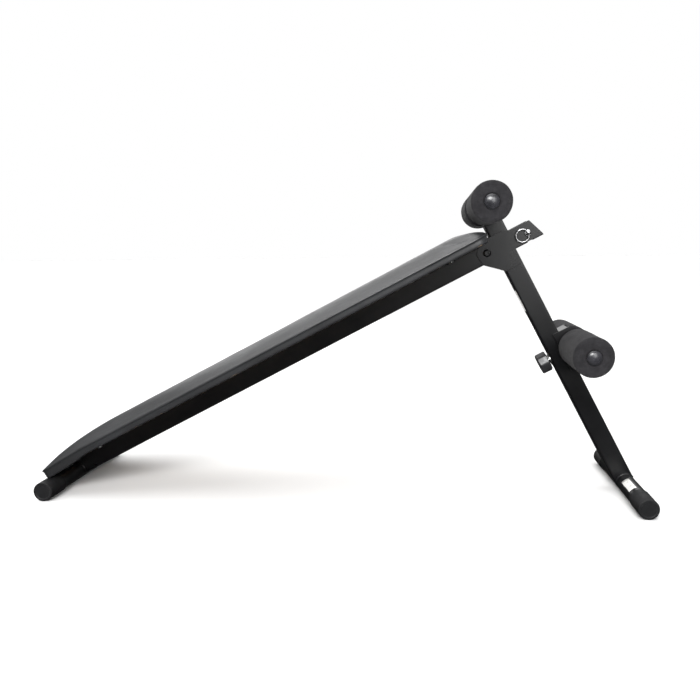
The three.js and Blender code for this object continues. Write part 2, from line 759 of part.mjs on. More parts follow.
function hingeParts() {
  const group = new THREE.Group();
  for (const { side, sign } of SIDES) {
    group.add(hingePlate(side, sign));
  }
  group.add(pivotBolt(), pivotWasher(), pivotNut());
  group.add(lockingPin(), pinRing());
  return group;
}

function legParts(reach) {
  const group = new THREE.Group();
  group.add(legTube(reach));
  group.add(carriageBracket(), axle("lower_axle", LOWER_AXLE_U, LOWER_AXLE_W));
  group.add(...rollerPair("lower", LOWER_AXLE_U, LOWER_AXLE_W));
  group.add(knobStud(), knobWasher(), clampKnob());
  group.rotation.y = -LEG_SPLAY;
  return group;
}

const frontX = -FRONT_REACH * Math.cos(FRAME_TILT) + FRONT_DROP * Math.sin(FRAME_TILT);
const jointHeight = FRONT_REACH * Math.sin(FRAME_TILT) + FRONT_DROP * Math.cos(FRAME_TILT);
const legLean = FRAME_TILT + LEG_SPLAY;
const legReach = jointHeight / Math.cos(legLean);

const bench = new THREE.Group();
bench.add(frameParts(), hingeParts(), legParts(legReach));
bench.rotation.y = -FRAME_TILT;
bench.position.z = jointHeight + AXIS_HEIGHT;

const group = new THREE.Group();
group.add(bench);
group.add(stabiliserSet("front", FRONT_WIDTH, frontX));
group.add(stabiliserSet("rear", REAR_WIDTH, legReach * Math.sin(legLean)));

// The bench's origin is the middle of its footprint, on the floor.
group.updateMatrixWorld(true);
const bounds = new THREE.Box3().setFromObject(group, true);
group.position.x = -(bounds.min.x + bounds.max.x) / 2;
group.position.z = -bounds.min.z;

export default group;
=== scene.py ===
"""Looks of a folding decline sit-up bench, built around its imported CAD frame.

Lengths named *_MM are millimetres, everything else is metres. The sloping "bench" frame has u up the
frame tube's centre line, w square to it and y across; u = w = 0 is where it crosses the leg's centre line.
"""

import json
import math

import bpy
import numpy as np
from mathutils import Matrix, Vector, noise

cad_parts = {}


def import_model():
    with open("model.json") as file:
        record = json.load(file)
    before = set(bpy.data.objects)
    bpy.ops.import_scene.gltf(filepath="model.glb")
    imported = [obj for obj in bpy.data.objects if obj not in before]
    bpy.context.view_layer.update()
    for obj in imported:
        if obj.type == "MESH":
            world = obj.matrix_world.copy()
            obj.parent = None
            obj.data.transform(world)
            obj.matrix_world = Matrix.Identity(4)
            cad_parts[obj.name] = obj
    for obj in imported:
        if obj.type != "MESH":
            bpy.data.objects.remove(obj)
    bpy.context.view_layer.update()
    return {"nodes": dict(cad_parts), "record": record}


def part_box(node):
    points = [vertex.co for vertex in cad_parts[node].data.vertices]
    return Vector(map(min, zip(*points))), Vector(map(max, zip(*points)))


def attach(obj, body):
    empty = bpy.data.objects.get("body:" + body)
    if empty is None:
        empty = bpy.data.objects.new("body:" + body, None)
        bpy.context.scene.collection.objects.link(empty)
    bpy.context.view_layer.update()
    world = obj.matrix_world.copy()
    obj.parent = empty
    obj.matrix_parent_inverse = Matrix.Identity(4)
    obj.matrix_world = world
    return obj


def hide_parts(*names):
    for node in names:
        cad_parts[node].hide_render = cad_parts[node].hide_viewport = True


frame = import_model()
NODES = frame["nodes"]

# ---- Driving dimensions, the same as the CAD's ----
MM = 0.001
FRAME_TILT = math.radians(27.5)
LEG_TILT = math.radians(28.0)
TUBE_HALF_MM = 20.0
FOOT_TUBE_R_MM = 19.0
PAD_HALF_MM = 145.0
PAD_NOSE_U_MM = -1105.0
PAD_END_U_MM = -28.0
PAD_CORNER_MM = 30.0
PAD_TOP_W_MM = 60.0
BOARD_BOTTOM_W_MM = 23.6
BOARD_TOP_W_MM = 35.6
NOSE_LENGTH_MM = 122.0
END_ROUND_MM = 42.0
UPPER_AXLE_UW_MM = (2.0, 88.5)
STRAP_U_MM = (-1000.0, -113.0)
STRAP_HALF_MM = 13.0

SIDES = (("near", -1.0), ("far", 1.0))


def middle_of(node):
    low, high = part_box(node)
    return (low + high) / 2


def tilted(origin, tilt):
    """A function from (u, y, w) in millimetres, in a frame tilted about Y, to a point in metres."""
    along = Vector((math.cos(tilt), 0, math.sin(tilt)))
    square = Vector((-math.sin(tilt), 0, math.cos(tilt)))
    return lambda u, y, w: origin + (along * u + square * w) * MM + Vector((0, y * MM, 0))


def axis_of(node):
    """The middle of a node, moved to the bench's middle plane."""
    middle = middle_of(node)
    return Vector((middle.x, 0, middle.z))


def crossing():
    """Where the frame tube's centre line meets the leg's, found from the upper axle."""
    u, w = UPPER_AXLE_UW_MM
    return axis_of("upper_axle") - tilted(Vector((0, 0, 0)), FRAME_TILT)(u, 0, w)


CROSSING = crossing()
bench = tilted(CROSSING, FRAME_TILT)
leg = tilted(CROSSING, LEG_TILT)


def bench_place(point):
    """(u, w) in millimetres of a point in metres."""
    offset = point - CROSSING
    u = offset.x * math.cos(FRAME_TILT) + offset.z * math.sin(FRAME_TILT)
    w = offset.z * math.cos(FRAME_TILT) - offset.x * math.sin(FRAME_TILT)
    return u / MM, w / MM


# ---- Materials ----
WORN_WIDTH = 0.0012


def set_range(node, low, high, out_low, out_high):
    """Sets the four ends of a Map Range node."""
    for key, value in (("From Min", low), ("From Max", high), ("To Min", out_low), ("To Max", out_high)):
        node.inputs[key].default_value = value


class Look:
    """A node material on one Principled shader, with helpers for procedural detail in object space."""

    def __init__(self, name, roughness, specular=0.5, metallic=0.0, coat=0.0, sheen=0.0):
        self.material = bpy.data.materials.new(name)
        self.material.use_nodes = True
        self.tree = self.material.node_tree
        self.shader = self.tree.nodes["Principled BSDF"]
        self.shader.inputs["Roughness"].default_value = roughness
        self.shader.inputs["Specular IOR Level"].default_value = specular
        self.shader.inputs["Metallic"].default_value = metallic
        self.shader.inputs["Coat Weight"].default_value = coat
        self.shader.inputs["Sheen Weight"].default_value = sheen
        self.place = self.add("ShaderNodeTexCoord").outputs["Object"]
        self.normal = None

    def add(self, kind, **values):
        node = self.tree.nodes.new(kind)
        for key, value in values.items():
            setattr(node, key, value)
        return node

    def join(self, start, end):
        self.tree.links.new(start, end)

    def noise(self, scale, detail=3.0, rough=0.55, stretch=(1, 1, 1)):
        """Fractal noise; a stretch other than 1 is squeezed square to the sloping pad."""
        node = self.add("ShaderNodeTexNoise")
        node.inputs["Scale"].default_value = scale
        node.inputs["Detail"].default_value = detail
        node.inputs["Roughness"].default_value = rough
        source = self.place
        if stretch != (1, 1, 1):
            mapping = self.add("ShaderNodeMapping")
            mapping.inputs["Scale"].default_value = stretch
            mapping.inputs["Rotation"].default_value = (0, FRAME_TILT, 0)
            self.join(self.place, mapping.inputs["Vector"])
            source = mapping.outputs["Vector"]
        self.join(source, node.inputs["Vector"])
        return node.outputs["Fac"]

    def cells(self, scale, feature="F1"):
        """Distances in a pattern of irregular cells, for pores, grain and specks."""
        node = self.add("ShaderNodeTexVoronoi", feature=feature)
        node.inputs["Scale"].default_value = scale
        self.join(self.place, node.inputs["Vector"])
        return node.outputs["Distance"]

    def ramp(self, source, low, high, out_low=0.0, out_high=1.0):
        """Maps low to high on to out_low to out_high, and no further."""
        node = self.add("ShaderNodeMapRange", clamp=True)
        set_range(node, low, high, out_low, out_high)
        self.join(source, node.inputs["Value"])
        return node.outputs["Result"]

    def times(self, first, second):
        node = self.add("ShaderNodeMath", operation="MULTIPLY")
        for socket, value in zip(node.inputs, (first, second)):
            if isinstance(value, float):
                socket.default_value = value
            else:
                self.join(value, socket)
        return node.outputs["Value"]

    def mix(self, share, first, second):
        """A colour between first and second; each is a colour or an output."""
        node = self.add("ShaderNodeMix", data_type="RGBA")
        self.join(share, node.inputs["Factor"])
        colour_inputs = [s for s in node.inputs if s.type == "RGBA"]
        for socket, value in zip(colour_inputs, (first, second)):
            if isinstance(value, tuple):
                socket.default_value = (*value, 1)
            else:
                self.join(value, socket)
        return next(s for s in node.outputs if s.type == "RGBA")

    def colour(self, output):
        self.join(output, self.shader.inputs["Base Color"])

    def roughness(self, output):
        self.join(output, self.shader.inputs["Roughness"])

    def bump(self, height, strength, distance):
        node = self.add("ShaderNodeBump")
        node.inputs["Strength"].default_value = strength
        node.inputs["Distance"].default_value = distance
        self.join(height, node.inputs["Height"])
        if self.normal is not None:
            self.join(self.normal, node.inputs["Normal"])
        self.normal = node.outputs["Normal"]
        self.join(self.normal, self.shader.inputs["Normal"])

    def worn_edges(self):
        """How much an edge is rubbed, broken up by noise."""
        eased = self.add("ShaderNodeBevel", samples=4)
        eased.inputs["Radius"].default_value = WORN_WIDTH
        surface = self.add("ShaderNodeNewGeometry")
        turned = self.add("ShaderNodeVectorMath", operation="DOT_PRODUCT")
        self.join(eased.outputs["Normal"], turned.inputs[0])
        self.join(surface.outputs["Normal"], turned.inputs[1])
        patches = self.ramp(self.noise(60, 4), 0.42, 0.62)
        return self.times(self.ramp(turned.outputs["Value"], 0.99, 0.86), patches)


def paint_look():
    look = Look("frame_paint_look", 0.3, specular=0.5)
    smudge = look.noise(14, 5, 0.6)
    dust = look.ramp(look.noise(5, 4), 0.4, 0.7)
    base = look.mix(dust, (0.003, 0.003, 0.0037), (0.0055, 0.0055, 0.0062))
    look.colour(look.mix(look.worn_edges(), base, (0.04, 0.04, 0.042)))
    look.roughness(look.ramp(smudge, 0.3, 0.7, 0.26, 0.36))
    look.bump(look.noise(420, 2), 0.10, 0.00012)
    look.bump(look.noise(45, 2), 0.03, 0.0004)
    return look.material


def pad_look():
    look = Look("pad_cover_look", 0.4, specular=0.75)
    patches = look.ramp(look.noise(6, 4, 0.6, (1, 2.5, 2.5)), 0.35, 0.68)
    base = look.mix(patches, (0.014, 0.0145, 0.0155), (0.023, 0.024, 0.026))
    lint = look.ramp(look.cells(90), 0.0, 0.035, 1.0, 0.0)
    rare = look.ramp(look.noise(31, 2), 0.62, 0.7)
    look.colour(look.mix(look.times(lint, rare), base, (0.16, 0.16, 0.16)))
    look.roughness(look.ramp(look.noise(22, 6, 0.65, (1, 3, 3)), 0.3, 0.7, 0.33, 0.46))
    look.bump(look.cells(820, "DISTANCE_TO_EDGE"), 0.35, 0.00022)
    look.bump(look.noise(2300, 2), 0.2, 0.0001)
    look.bump(look.noise(16, 3, 0.5, (1, 4, 4)), 0.25, 0.0012)
    return look.material


def foam_look():
    look = Look("roller_foam_look", 0.93, specular=0.18, sheen=0.05)
    mottled = look.ramp(look.noise(70, 6, 0.7), 0.35, 0.68)
    base = look.mix(mottled, (0.013, 0.0125, 0.014), (0.027, 0.026, 0.0285))
    # Painted shade: the pores, which the bump below sinks, are painted darker at their middles.
    pore_shade = look.ramp(look.cells(780), 0.05, 0.4)
    look.colour(look.mix(pore_shade, (0.010, 0.010, 0.011), base))
    look.bump(look.cells(780), 0.55, 0.00045)
    look.bump(look.noise(1500, 4, 0.7), 0.5, 0.0003)
    look.bump(look.noise(120, 3), 0.3, 0.0008)
    return look.material


def cap_look():
    look = Look("cap_rubber_look", 0.62, specular=0.35)
    scuffs = look.ramp(look.noise(38, 6, 0.7), 0.5, 0.72)
    base = look.mix(scuffs, (0.007, 0.007, 0.008), (0.017, 0.017, 0.018))
    look.colour(look.mix(look.worn_edges(), base, (0.06, 0.06, 0.06)))
    look.roughness(look.ramp(look.noise(50, 4), 0.3, 0.7, 0.52, 0.74))
    look.bump(look.noise(900, 3), 0.3, 0.0002)
    return look.material


def plastic_look(name, base, low, high, grain, bump):
    look = Look(name, low, specular=0.8)
    shade = look.ramp(look.noise(45, 5), 0.4, 0.7)
    lighter = tuple(2.0 * value for value in base)
    look.colour(look.mix(shade, base, lighter))
    look.roughness(look.ramp(look.noise(80, 5), 0.3, 0.7, low, high))
    look.bump(look.noise(grain, 3), bump, 0.0002)
    return look.material


def metal_look(name, base, dark, low, high, brushed):
    look = Look(name, low, metallic=1.0)
    stain = look.ramp(look.noise(130, 6, 0.7), 0.45, 0.72)
    look.colour(look.mix(stain, base, dark))
    look.roughness(look.ramp(look.noise(240, 4), 0.3, 0.7, low, high))
    look.bump(look.noise(700, 3), brushed, 0.0001)
    return look.material


def plywood_look():
    look = Look("pad_plywood_look", 0.72, specular=0.3)
    rings = look.noise(28, 5, 0.6, (1, 14, 14))
    streaks = look.ramp(rings, 0.3, 0.7)
    base = look.mix(streaks, (0.20, 0.125, 0.065), (0.36, 0.25, 0.145))
    knots = look.ramp(look.cells(7), 0.0, 0.06, 1.0, 0.0)
    look.colour(look.mix(knots, base, (0.09, 0.05, 0.025)))
    look.roughness(look.ramp(rings, 0.3, 0.7, 0.62, 0.82))
    look.bump(rings, 0.35, 0.0004)
    return look.material


def label_look():
    look = Look("label_look", 0.45, specular=0.4)
    soil = look.ramp(look.noise(160, 5), 0.45, 0.75)
    look.colour(look.mix(soil, (0.86, 0.86, 0.84), (0.66, 0.65, 0.61)))
    look.bump(look.noise(260, 2), 0.1, 0.0002)
    return look.material


PAINT = paint_look()
COVER = pad_look()
FOAM = foam_look()
CAP = cap_look()
SATIN = plastic_look("black_plastic_look", (0.012, 0.012, 0.0135), 0.3, 0.48, 600, 0.2)
GLOSSY = plastic_look("plug_plastic_look", (0.016, 0.016, 0.019), 0.24, 0.34, 300, 0.06)
CHROME = metal_look("chrome_look", (0.92, 0.92, 0.93), (0.78, 0.79, 0.81), 0.26, 0.38, 0.05)
ZINC = metal_look("zinc_steel_look", (0.60, 0.61, 0.60), (0.36, 0.36, 0.35), 0.24, 0.42, 0.25)
PLYWOOD = plywood_look()
LABEL = label_look()

LOOK_OF_SLOT = {
    "frame_paint": PAINT,
    "pad_cover": COVER,
    "pad_plywood": PLYWOOD,
    "roller_foam": FOAM,
    "cap_rubber": CAP,
    "black_plastic": SATIN,
    "plug_plastic": GLOSSY,
    "chrome": CHROME,
    "black_bolt": PAINT,
    "zinc_steel": ZINC,
}


# ---- CAD nodes: finish and eased edges ----
EDGE_MM = {
    "frame_tube": 0.5,
    "leg_tube": 0.5,
    "upper_post": 0.5,
    "hinge_plate_near": 0.7,
    "hinge_plate_far": 0.7,
    "carriage_bracket": 0.6,
    "pad_strap_front": 0.5,
    "pad_strap_rear": 0.5,
    "pad_board": 0.6,
    "post_cap": 0.6,
    "frame_end_plug": 0.6,
    "clamp_knob": 0.8,
}
DEFAULT_EDGE_MM = 0.3
WELD_REACH = 2e-5
FLAT_ANGLE = math.radians(1.0)
HARD_ANGLE = math.radians(32)
SHADING_WEIGHT = 80


def dress(node, look):
    """Welds the imported facets, eases the hard edges and shades the round faces smooth."""
    data = node.data
    custom = data.attributes.get("custom_normal")
    if custom is not None:
        data.attributes.remove(custom)
    data.materials.clear()
    data.materials.append(look)
    data.polygons.foreach_set("use_smooth", [True] * len(data.polygons))
    weld = node.modifiers.new("weld", "WELD")
    weld.merge_threshold = WELD_REACH
    flat = node.modifiers.new("flat", "DECIMATE")
    flat.decimate_type = "DISSOLVE"
    flat.angle_limit = FLAT_ANGLE
    bevel = node.modifiers.new("edges", "BEVEL")
    bevel.width = EDGE_MM.get(node.name, DEFAULT_EDGE_MM) * MM
    bevel.segments = 2
    bevel.limit_method = "ANGLE"
    bevel.angle_limit = HARD_ANGLE
    bevel.use_clamp_overlap = True
    bevel.harden_normals = False
    shading = node.modifiers.new("shading", "WEIGHTED_NORMAL")
    shading.mode = "FACE_AREA"
    shading.weight = SHADING_WEIGHT
    shading.keep_sharp = False


slot_of = {row["node"]: row["material_slot"] for row in frame["record"]["subparts"]}
for name, node in NODES.items():
    dress(node, LOOK_OF_SLOT[slot_of[name]])


# ---- Mesh helpers ----
def new_piece(name, points, faces, look, body):
    """A mesh piece from points in metres, riding on a body and finished as a material slot."""
    data = bpy.data.meshes.new(name)
    data.from_pydata([tuple(p) for p in points], [], faces)
    data.validate()
    data.update()
    data.materials.append(look)
    data.polygons.foreach_set("use_smooth", [True] * len(data.polygons))
    piece = bpy.data.objects.new(name, data)
    bpy.context.scene.collection.objects.link(piece)
    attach(piece, body)
    return piece


def wobble(point, scale, seed=0.0):
    """Smooth noise from -1 to 1 that is the same on every run."""
    return noise.noise(Vector(point) * scale + Vector((seed, seed * 0.7, -seed)))


OFF_AXIS = Vector((0.31, 0.17, 0.93))


def tube_along(path, radius, around, radius_at=None):
    """Points and faces of a round tube that follows a path of Vectors, with closed ends."""
    count = len(path)
    points, faces = [], []
    for i, centre in enumerate(path):
        before = path[max(0, i - 1)]
        after = path[min(count - 1, i + 1)]
        direction = (after - before).normalized()
        side = direction.cross(OFF_AXIS).normalized()
        other = direction.cross(side)
        r = radius * (radius_at(i) if radius_at else 1.0)
        for k in range(around):
            angle = 2 * math.pi * k / around
            points.append(centre + (side * math.cos(angle) + other * math.sin(angle)) * r)
    for i in range(count - 1):
        for k in range(around):
            a, b = i * around + k, i * around + (k + 1) % around
            faces.append((a, b, b + around, a + around))
    faces.append(tuple(reversed(range(around))))
    faces.append(tuple(range((count - 1) * around, count * around)))
    return points, faces


def merged(parts):
    """Several (points, faces) in one."""
    points, faces = [], []
    for some_points, some_faces in parts:
        start = len(points)
        points.extend(some_points)
        faces.extend(tuple(start + i for i in face) for face in some_faces)
    return points, faces


# ---- Pad cover ----
ROWS_LONG, ROWS_END, ROWS_CORNER = 150, 26, 6
FOAM_BASE_W_MM = BOARD_TOP_W_MM + 0.3
FOAM_HEIGHT_MM = PAD_TOP_W_MM - FOAM_BASE_W_MM
SHOULDER_START = 0.16
SHOULDER_END = 0.935
SHOULDER_SHARE = 0.30
SHOULDER_POWER = 0.8
CROWN_SHARE = 0.065
NOSE_EDGE = 0.13
NOSE_DROOP_MM = 10.0
NOSE_TOP_DROOP_MM = 6.0
NOSE_TOP_DROOP_POWER = 1.3
NOSE_DROOP_LENGTH_MM = 115.0
TUBE_CLEAR_W_MM = 20.9
TUBE_CLEAR_Y_MM = 26.0
FOOT_CLEAR_R_MM = 21.2
FRONT_FOOT_UW_MM = bench_place(middle_of("front_stabilizer"))
NO_LIMIT_MM = -1e3
HEM_W_MM = 22.15
HEM_FREE_INSET_MM = 25.0
HEM_FADE_MM = 4.0
UNDERSIDE_BELOW_W_MM = 30.0
GATHER_REACH_MM = 60.0
# The cover's section: inset from the pad's outline and height w, from the hem's raw edge outwards ...
HEM_SECTION_MM = ((29.0, 24.8), (27.6, 22.9), (26.2, 22.2), (18, 22.15), (9, 22.25), (4.2, 22.7), (2.7, 24.2))
# ... up the board's edge ...
BOARD_EDGE_SECTION_MM = ((2.3, 27.5), (2.3, 31.0), (2.2, 34.0), (1.7, 35.4))
# ... up the padding's side, as a share of its height and how far it bulges ...
SIDE_SECTION = ((0.2, 0.7), (0.6, 0.6), (1.0, 0.0))
SIDE_FULL_HEIGHT_MM = 9.0
# ... and over the top, as insets.
TOP_INSETS_MM = (1.2, 2.8, 5, 8, 12, 17, 23, 30, 38, 47, 58, 70, 84, 99, 114, 128, 138)
TOP_GATHER_INSET_MM = 20.0
# How uneven the cover is on its hem, edge, side and top, and how deep its corner pleats are there.
HEM_WAVE_MM = 1.4
HEM_WAVE_INSET_MM = 20.0
EDGE_WAVE_MM = 0.25
SIDE_WAVE_MM = 0.3
TOP_WAVE_MM = 0.35
HEM_PLEAT_MM = 0.25
SIDE_PLEAT_MM = 0.45
TOP_PLEAT_MM = 0.3


def pad_outline(inset):
    """Points (u, y, outward u, outward y) of the pad's plan, drawn in by inset."""
    half_length = (PAD_END_U_MM - PAD_NOSE_U_MM) / 2 - inset
    half_width = PAD_HALF_MM - inset
    middle = (PAD_END_U_MM + PAD_NOSE_U_MM) / 2
    r = min(PAD_CORNER_MM, half_width * 0.98)
    out = []
    for index, (su, sy) in enumerate(((1, 1), (-1, 1), (-1, -1), (1, -1))):
        along_u = index % 2 == 0
        tip = Vector((su * half_length, sy * half_width))
        before = tip - Vector((0, sy * r)) if along_u else tip - Vector((su * r, 0))
        after = tip - Vector((su * r, 0)) if along_u else tip - Vector((0, sy * r))
        for k in range(ROWS_CORNER):
            t = k / ROWS_CORNER
            at = before * (1 - t) ** 2 + tip * (2 * t * (1 - t)) + after * t**2
            run = ((tip - before) * (1 - t) + (after - tip) * t).normalized()
            out.append((middle + at.x, at.y, run.y, -run.x))
        rows = ROWS_LONG if along_u else ROWS_END
        straight = 2 * ((half_length - r) if along_u else (half_width - r))
        for k in range(rows):
            t = straight * k / rows
            if along_u:
                out.append((middle + su * (half_length - r) - su * t, sy * half_width, 0, sy))
            else:
                out.append((middle + su * half_length, sy * (half_width - r) - sy * t, su, 0))
    return out


def rounding(distance, length):
    """From 0 at the end of the pad to 1 where its quarter-round is over."""
    if distance >= length:
        return 1.0
    return math.sqrt(max(0.0, 1 - ((length - distance) / length) ** 2))


def foam_height(u, y):
    """Height of the padding over the board."""
    nose = rounding(u - PAD_NOSE_U_MM, NOSE_LENGTH_MM)
    end = rounding(PAD_END_U_MM - u, END_ROUND_MM)
    taper = math.sqrt((nose * end) ** 2 + NOSE_EDGE**2) / math.sqrt(1 + NOSE_EDGE**2)
    s = max(0.0, min(1.0, (PAD_HALF_MM - abs(y)) / PAD_HALF_MM))
    shoulder = math.sin(min(1.0, s / SHOULDER_SHARE) * math.pi / 2) ** SHOULDER_POWER
    rise = SHOULDER_START + (SHOULDER_END - SHOULDER_START) * shoulder
    crown = CROWN_SHARE * math.sin(s * math.pi / 2)
    return FOAM_HEIGHT_MM * taper * (rise + crown)


def droop(u):
    """How far the hem hangs at the nose."""
    share = min(1.0, (u - PAD_NOSE_U_MM) / NOSE_DROOP_LENGTH_MM)
    return NOSE_DROOP_MM * (1 - share * share)


def top_droop(u):
    """How far the padding is pulled down at the nose."""
    share = max(0.0, 1 - (u - PAD_NOSE_U_MM) / NOSE_DROOP_LENGTH_MM)
    return NOSE_TOP_DROOP_MM * share**NOSE_TOP_DROOP_POWER


def lowest_w(u, y):
    """The lowest the hem may hang, over the frame tube and the front foot."""
    lowest = TUBE_CLEAR_W_MM if abs(y) < TUBE_CLEAR_Y_MM else NO_LIMIT_MM
    foot_u, foot_w = FRONT_FOOT_UW_MM
    off = abs(u - foot_u)
    if off < FOOT_CLEAR_R_MM:
        lowest = max(lowest, foot_w + math.sqrt(FOOT_CLEAR_R_MM**2 - off**2))
    return lowest


def pleat(u, y, depth):
    """Gathers where the cover is pulled round the four corners."""
    near_corner = min(
        math.hypot(u - end, abs(y) - PAD_HALF_MM) for end in (PAD_NOSE_U_MM, PAD_END_U_MM)
    )
    fade = max(0.0, 1 - near_corner / GATHER_REACH_MM)
    return depth * fade * math.sin(0.85 * (u + 1.7 * y) + 2.2 * wobble((u, y, 0), 0.05))


def under_ring(inset, w):
    """The contour of the cover at an inset under the board or up its edge."""
    ring = []
    for u, y, nu, ny in pad_outline(0):
        if inset > HEM_WAVE_INSET_MM:
            shift = inset + HEM_WAVE_MM * wobble((u, y, 3), 0.035)
        else:
            shift = inset + EDGE_WAVE_MM * wobble((u, y, 9), 0.06)
        rise = max(0.0, min(1.0, (w - BOARD_BOTTOM_W_MM) / (BOARD_TOP_W_MM - BOARD_BOTTOM_W_MM)))
        drop = droop(u) + rise * (top_droop(u) - droop(u))
        if w < UNDERSIDE_BELOW_W_MM:
            drop = min(drop, max(0.0, w - lowest_w(u - nu * shift, y - ny * shift)))
        if inset >= HEM_FREE_INSET_MM:
            drop *= max(0.0, 1 - (inset - HEM_FREE_INSET_MM) / HEM_FADE_MM)
        ring.append((u - nu * shift, y - ny * shift, w - drop + pleat(u, y, HEM_PLEAT_MM)))
    return ring


def side_ring(share, bulge):
    """The contour of the cover at a share of the padding's height, on its side."""
    ring = []
    for u, y, nu, ny in pad_outline(0):
        height = foam_height(u, y)
        out = bulge * min(1.0, height / SIDE_FULL_HEIGHT_MM)
        out += SIDE_WAVE_MM * wobble((u, y, 5), 0.03) + pleat(u, y, SIDE_PLEAT_MM)
        ring.append((u + nu * out, y + ny * out, FOAM_BASE_W_MM + share * height - top_droop(u)))
    return ring


def top_ring(inset):
    """The contour of the cover at an inset on its top."""
    ring = []
    gather = TOP_PLEAT_MM * max(0, 1 - inset / TOP_GATHER_INSET_MM)
    for u, y, _, _ in pad_outline(inset):
        soft = TOP_WAVE_MM * wobble((u, y, 1), 0.018) + pleat(u, y, gather)
        ring.append((u, y, FOAM_BASE_W_MM + foam_height(u, y) + soft - top_droop(u)))
    return ring


def pad_contours():
    """The cover as closed contours, from its hem under the board, round the edge, to the crown."""
    held = HEM_SECTION_MM + BOARD_EDGE_SECTION_MM
    contours = [under_ring(inset, w) for inset, w in held]
    contours += [side_ring(share, bulge) for share, bulge in SIDE_SECTION]
    contours += [top_ring(inset) for inset in TOP_INSETS_MM]
    return contours, len(held)


def strip_faces(count):
    """Faces that fill a contour: a ladder between its long sides, and a small fan at each end."""
    first = ROWS_CORNER
    second = first + ROWS_LONG + ROWS_CORNER + ROWS_END + ROWS_CORNER
    faces = []
    for k in range(ROWS_LONG - 1):
        a, b = first + k, first + k + 1
        c, d = second + ROWS_LONG - 2 - k, second + ROWS_LONG - 1 - k
        faces.append((a, b, c, d))
    last = second + ROWS_LONG - 1
    faces.append((*range(last, count), *range(0, first + 1)))
    faces.append(tuple(range(first + ROWS_LONG - 1, second + 1)))
    return faces


def pad_mesh():
    """Points and faces of the cover, and how many of its points lie on the board."""
    contours, fixed = pad_contours()
    count = len(contours[0])
    points = [bench(*p) for p in ((u, y, w) for ring in contours for u, y, w in ring)]
    faces = []
    for level in range(len(contours) - 1):
        for k in range(count):
            a, b = level * count + k, level * count + (k + 1) % count
            faces.append((a, b, b + count, a + count))
    top = (len(contours) - 1) * count
    inner = strip_faces(count)
    faces.extend(tuple(top + i for i in face) for face in inner)
    faces.extend(tuple(reversed(face)) for face in inner)
    return points, faces, fixed * count


PAD_SHRINK_MM = 2.0
PAD_SWELL_CAP_MM = 5.0
FULL_PADDING_MM = 12.0
HELD_BELOW = 0.4
CLOTH_FRAMES = 20
CLOTH_SETTINGS = {
    "quality": 6,
    "mass": 0.4,
    "tension_stiffness": 40,
    "compression_stiffness": 40,
    "shear_stiffness": 20,
    "bending_stiffness": 2.0,
    "use_pressure": True,
    "uniform_pressure_force": 4.0,
    "vertex_group_mass": "held",
}


def padding_share(data, fixed):
    """For each vertex, 0 on the board to 1 where the padding under it is full."""
    share = np.zeros(len(data.vertices))
    for index in range(fixed, len(share)):
        u, w = bench_place(data.vertices[index].co)
        padding = w + top_droop(u) - BOARD_TOP_W_MM
        share[index] = max(0.0, min(1.0, padding / FULL_PADDING_MM))
    return share


def run_cloth(piece, held):
    """Where the vertices are after the cover has swollen as a pressurised cloth, held at some of them."""
    group = piece.vertex_groups.new(name="held")
    group.add(held, 1.0, "REPLACE")
    cloth = piece.modifiers.new("swell", "CLOTH")
    for key, value in CLOTH_SETTINGS.items():
        setattr(cloth.settings, key, value)
    cloth.settings.effector_weights.gravity = 0.0
    cloth.collision_settings.use_collision = False
    cloth.collision_settings.use_self_collision = False
    cloth.point_cache.frame_start = 1
    cloth.point_cache.frame_end = CLOTH_FRAMES
    for number in range(1, CLOTH_FRAMES + 1):
        bpy.context.scene.frame_set(number)
    evaluated = piece.evaluated_get(bpy.context.evaluated_depsgraph_get())
    swollen = np.array([v.co for v in evaluated.to_mesh().vertices])
    evaluated.to_mesh_clear()
    piece.modifiers.remove(cloth)
    bpy.context.scene.frame_set(1)
    return swollen


def move_vertices(data, places):
    data.vertices.foreach_set("co", places.astype(np.float32).ravel())
    data.update()


def swell(piece, fixed):
    """Shrinks the cover a little where it is padded, then lets it swell, within a cap."""
    data = piece.data
    share = padding_share(data, fixed)
    target = np.array([v.co for v in data.vertices])
    normals = np.array([v.normal for v in data.vertices])
    start = target - normals * (PAD_SHRINK_MM * MM * share)[:, None]
    move_vertices(data, start)
    held = [int(index) for index in np.flatnonzero(share < HELD_BELOW)]
    move = run_cloth(piece, held) - start
    length = np.linalg.norm(move, axis=1, keepdims=True)
    move *= np.minimum(1.0, PAD_SWELL_CAP_MM * MM / np.maximum(length, 1e-9))
    move_vertices(data, start + move)


def subdivide(piece):
    """One level of subdivision, applied to the mesh."""
    finer = piece.modifiers.new("finer", "SUBSURF")
    finer.levels = finer.render_levels = 1
    graph = bpy.context.evaluated_depsgraph_get()
    made = bpy.data.meshes.new_from_object(piece.evaluated_get(graph))
    piece.modifiers.remove(finer)
    piece.data = made


def pad_cover():
    points, faces, fixed = pad_mesh()
    piece = new_piece("pad_cover", points, faces, COVER, "frame")
    swell(piece, fixed)
    subdivide(piece)
    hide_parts("pad_cushion")


pad_cover()

STAPLE_INSET_MM = 20.0
STAPLE_EVERY = 5
STAPLE_R_MM = 0.5
STAPLE_LINE_MM = ((-5.0, 0.5), (-4.8, 0.0), (0.0, -0.1), (4.8, 0.0), (5.0, 0.5))
NO_STAPLE_Y_MM = 27.0
NO_STAPLE_NOSE_MM = 40.0


